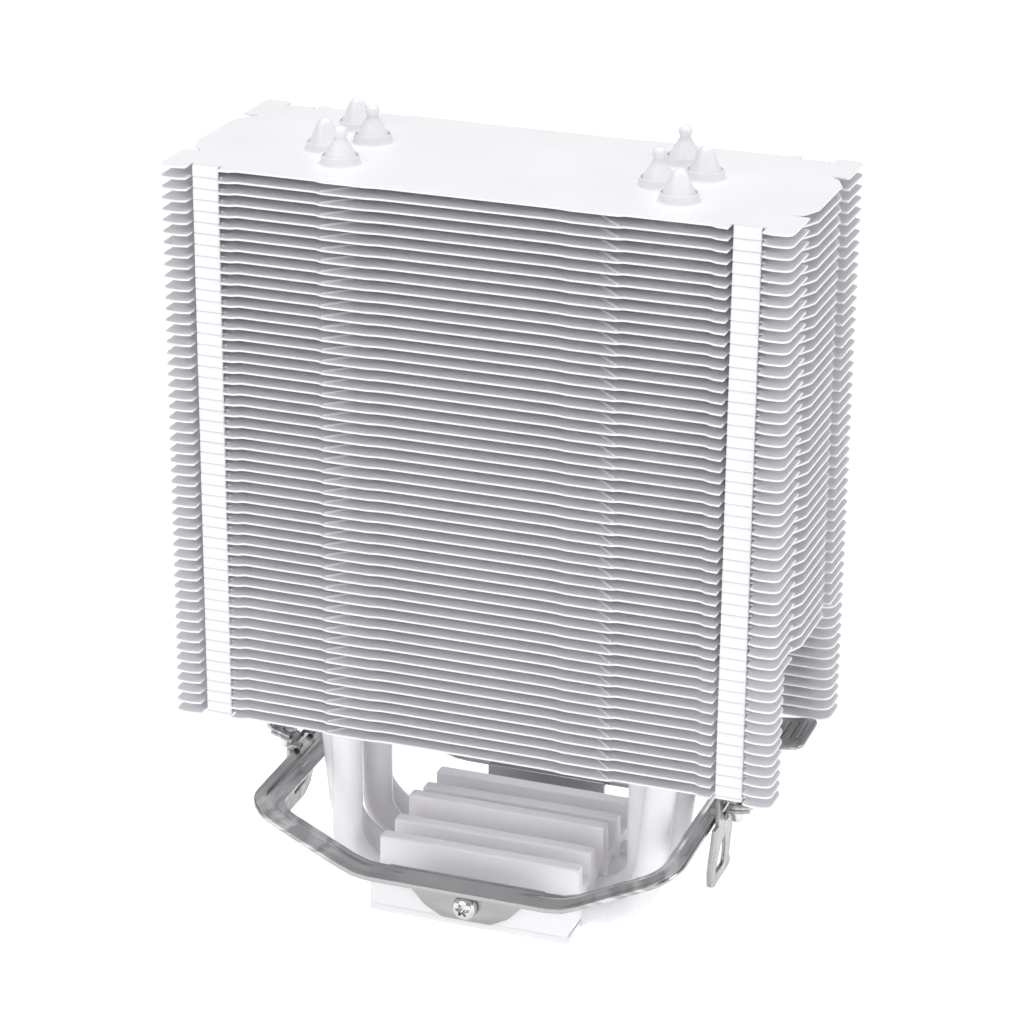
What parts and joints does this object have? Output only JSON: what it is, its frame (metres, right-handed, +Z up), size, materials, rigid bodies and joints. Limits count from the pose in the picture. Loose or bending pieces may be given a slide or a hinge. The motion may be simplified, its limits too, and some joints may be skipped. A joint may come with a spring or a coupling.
{
  "type": "cpu tower cooler",
  "caption": "Tower heatsink for a processor: a stack of thin white fins on bent heat pipes, a ridged base and a spring steel frame with a hook and thumb lever on each side.",
  "frame": {"origin": "middle of the contact face of the base, where it meets the processor", "axes": "+Z up through the fins, X along the wide side of the fins, the front faces -Y"},
  "size_m": [0.1217, 0.0583, 0.1543],
  "materials": {
    "fins": "white powder coat, satin",
    "pipes": "white coat, satin",
    "base": "white powder coat, satin",
    "contact_plate": "machined",
    "spring_steel": "polished",
    "hooks": "polished",
    "fasteners": "bright"
  },
  "bodies": {
    "tower": {"fin_top": "fins", "fins_upper": "fins", "fins_middle_high": "fins", "fins_middle_low": "fins", "fins_lower": "fins", "heatpipe_1": "pipes", "heatpipe_2": "pipes", "heatpipe_3": "pipes", "heatpipe_4": "pipes", "base_block": "base", "contact_plate": "contact_plate"},
    "frame": {"mounting_frame": "spring_steel"},
    "screw_front": {"frame_screw_front": "fasteners"},
    "screw_rear": {"frame_screw_rear": "fasteners"},
    "left_clip": {"hook_left": "hooks", "thumb_lever_left": "hooks", "lever_rivet_left": "fasteners"},
    "right_clip": {"hook_right": "hooks", "thumb_lever_right": "hooks", "lever_rivet_right": "fasteners"}
  },
  "joints": [
    {"name": "frame_rock", "type": "hinge", "parent": "tower", "child": "frame", "pos_m": [0, 0, 0.0053], "axis": [0, 1, 0], "range_deg": [-1.5, 1.5]},
    {"name": "front_screw_turn", "type": "hinge", "parent": "tower", "child": "screw_front", "pos_m": [0, -0.0222, 0.0053], "axis": [0, -1, 0], "continuous": true},
    {"name": "rear_screw_turn", "type": "hinge", "parent": "tower", "child": "screw_rear", "pos_m": [0, 0.0222, 0.0053], "axis": [0, 1, 0], "continuous": true},
    {"name": "left_hook_swing", "type": "hinge", "parent": "frame", "child": "left_clip", "pos_m": [-0.04388, -0.00034, 0.02286], "axis": [0, 0.9996, 0.0279], "range_deg": [-19, 3]},
    {"name": "right_hook_swing", "type": "hinge", "parent": "frame", "child": "right_clip", "pos_m": [0.04388, -0.00034, 0.02286], "axis": [0, -0.9996, -0.0279], "range_deg": [-10, 12]}
  ]
}
